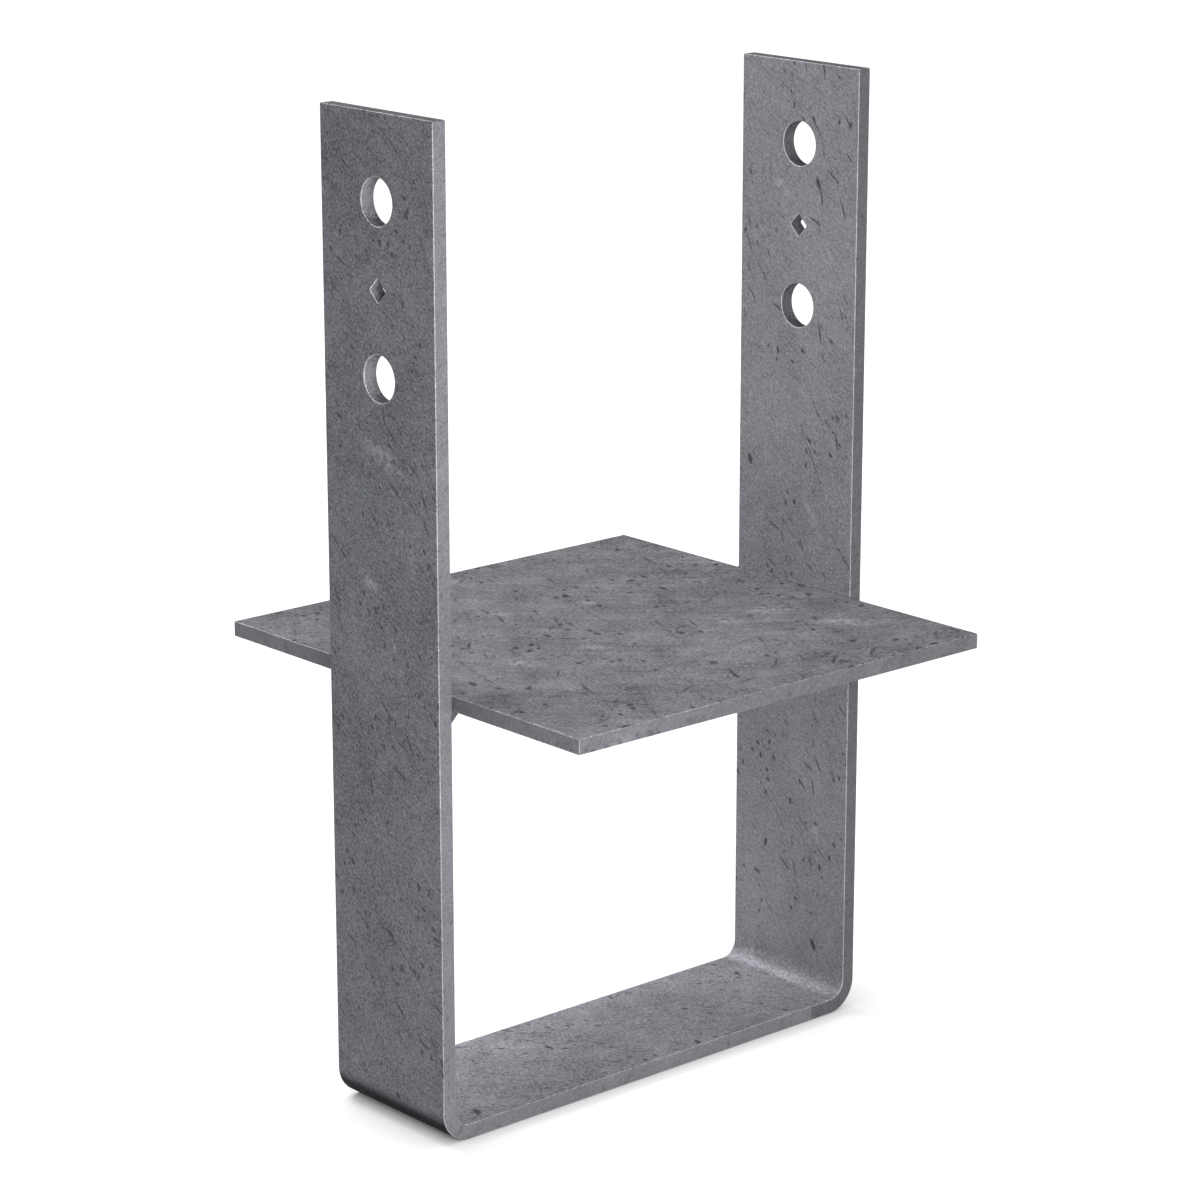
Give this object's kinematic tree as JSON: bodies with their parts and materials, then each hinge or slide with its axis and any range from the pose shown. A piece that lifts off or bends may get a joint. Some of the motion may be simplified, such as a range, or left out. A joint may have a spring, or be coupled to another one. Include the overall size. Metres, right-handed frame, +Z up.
{
  "type": "timber post base",
  "caption": "Welded post base: a flat bar bent into a U, with a square seat plate between its legs and bolt holes near the top of each leg.",
  "frame": {"origin": "on the ground under the middle of the U: the centre of the flat underside of the bent bar", "axes": "+Z up along the legs and the post, X across the two legs, Y along the width of the bar"},
  "size_m": [0.2566, 0.2414, 0.456],
  "materials": {
    "galvanised_bar": "dull weathered hot-dip zinc, mottled, with fine scratches",
    "galvanised_plate": "dull weathered hot-dip zinc, streaked and pitted",
    "galvanised_weld": "zinc-coated weld bead"
  },
  "bodies": {
    "root": {"u_strap": "galvanised_bar", "base_plate": "galvanised_plate", "weld_bead_left": "galvanised_weld", "weld_bead_right": "galvanised_weld"}
  },
  "joints": []
}
